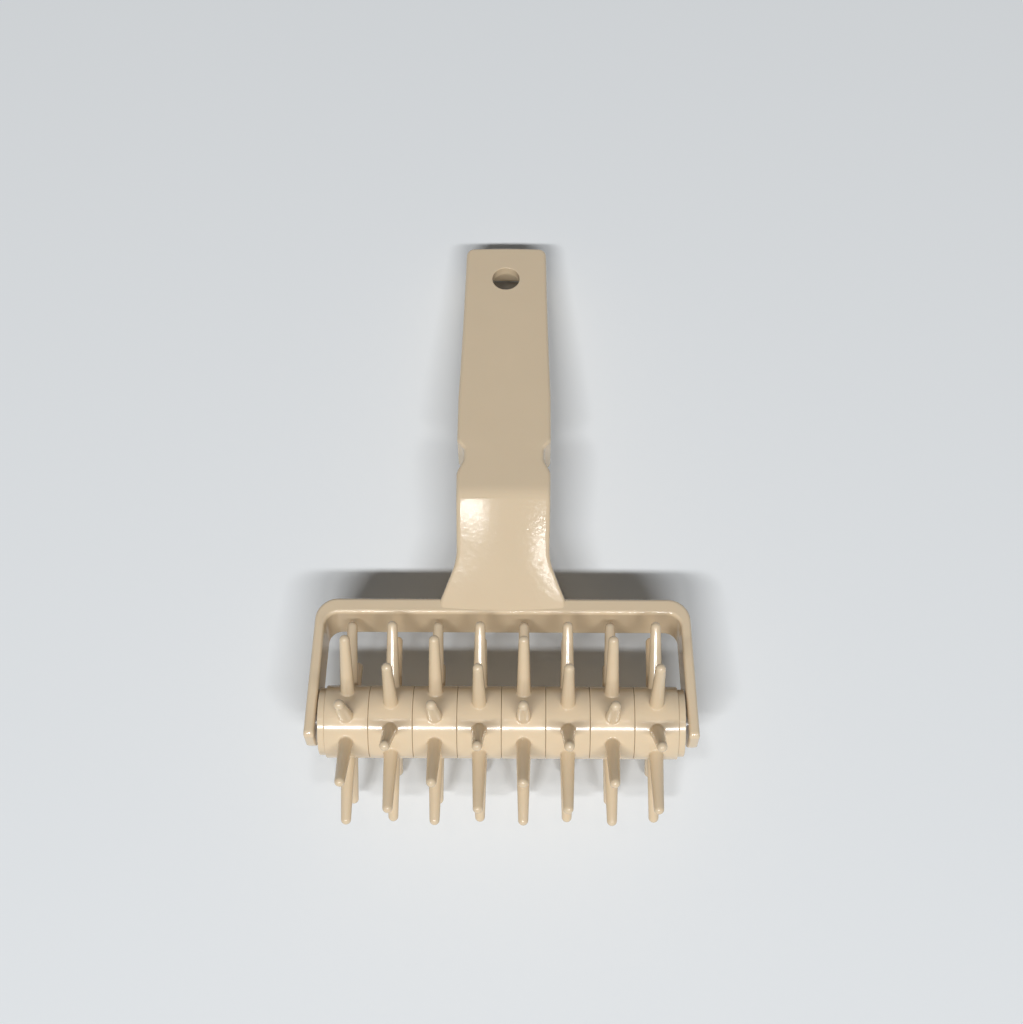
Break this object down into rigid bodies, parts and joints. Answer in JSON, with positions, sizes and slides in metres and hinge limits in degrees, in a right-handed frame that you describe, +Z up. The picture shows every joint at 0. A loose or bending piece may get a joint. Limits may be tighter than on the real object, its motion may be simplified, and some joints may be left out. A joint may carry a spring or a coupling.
{
  "type": "dough docker",
  "caption": "Hand roller with rings of long blunt pins, carried on an axle in a one-piece moulded yoke and offset handle with a hanging hole.",
  "frame": {"origin": "the middle of the docker's footprint, on the surface that it rests on", "axes": "+Z up, +Y along the handle from the roller to the end of the grip, +X along the roller's axle to the right"},
  "size_m": [0.132, 0.218, 0.069],
  "materials": {
    "axle_rod": "bright drawn steel",
    "end_disc_left": "glossy ivory moulded plastic with a fine orange-peel texture",
    "end_disc_right": "glossy ivory moulded plastic with a fine orange-peel texture",
    "handle_frame": "glossy ivory moulded plastic with a fine orange-peel texture",
    "pin_ring_1": "glossy ivory moulded plastic with a fine orange-peel texture",
    "pin_ring_2": "glossy ivory moulded plastic with a fine orange-peel texture",
    "pin_ring_3": "glossy ivory moulded plastic with a fine orange-peel texture",
    "pin_ring_4": "glossy ivory moulded plastic with a fine orange-peel texture",
    "pin_ring_5": "glossy ivory moulded plastic with a fine orange-peel texture",
    "pin_ring_6": "glossy ivory moulded plastic with a fine orange-peel texture",
    "pin_ring_7": "glossy ivory moulded plastic with a fine orange-peel texture",
    "pin_ring_8": "glossy ivory moulded plastic with a fine orange-peel texture",
    "roller_sleeve": "glossy ivory moulded plastic with a fine orange-peel texture"
  },
  "bodies": {
    "handle": {"handle_frame": "handle_frame", "axle_rod": "axle_rod"},
    "roller": {"roller_sleeve": "roller_sleeve", "end_disc_left": "end_disc_left", "end_disc_right": "end_disc_right", "pin_ring_1": "pin_ring_1", "pin_ring_2": "pin_ring_2", "pin_ring_3": "pin_ring_3", "pin_ring_4": "pin_ring_4", "pin_ring_5": "pin_ring_5", "pin_ring_6": "pin_ring_6", "pin_ring_7": "pin_ring_7", "pin_ring_8": "pin_ring_8"}
  },
  "joints": [
    {"name": "roller_spin", "type": "hinge", "parent": "handle", "child": "roller", "pos_m": [0, -0.07448, 0.0345], "axis": [1, 0, 0], "continuous": true}
  ]
}
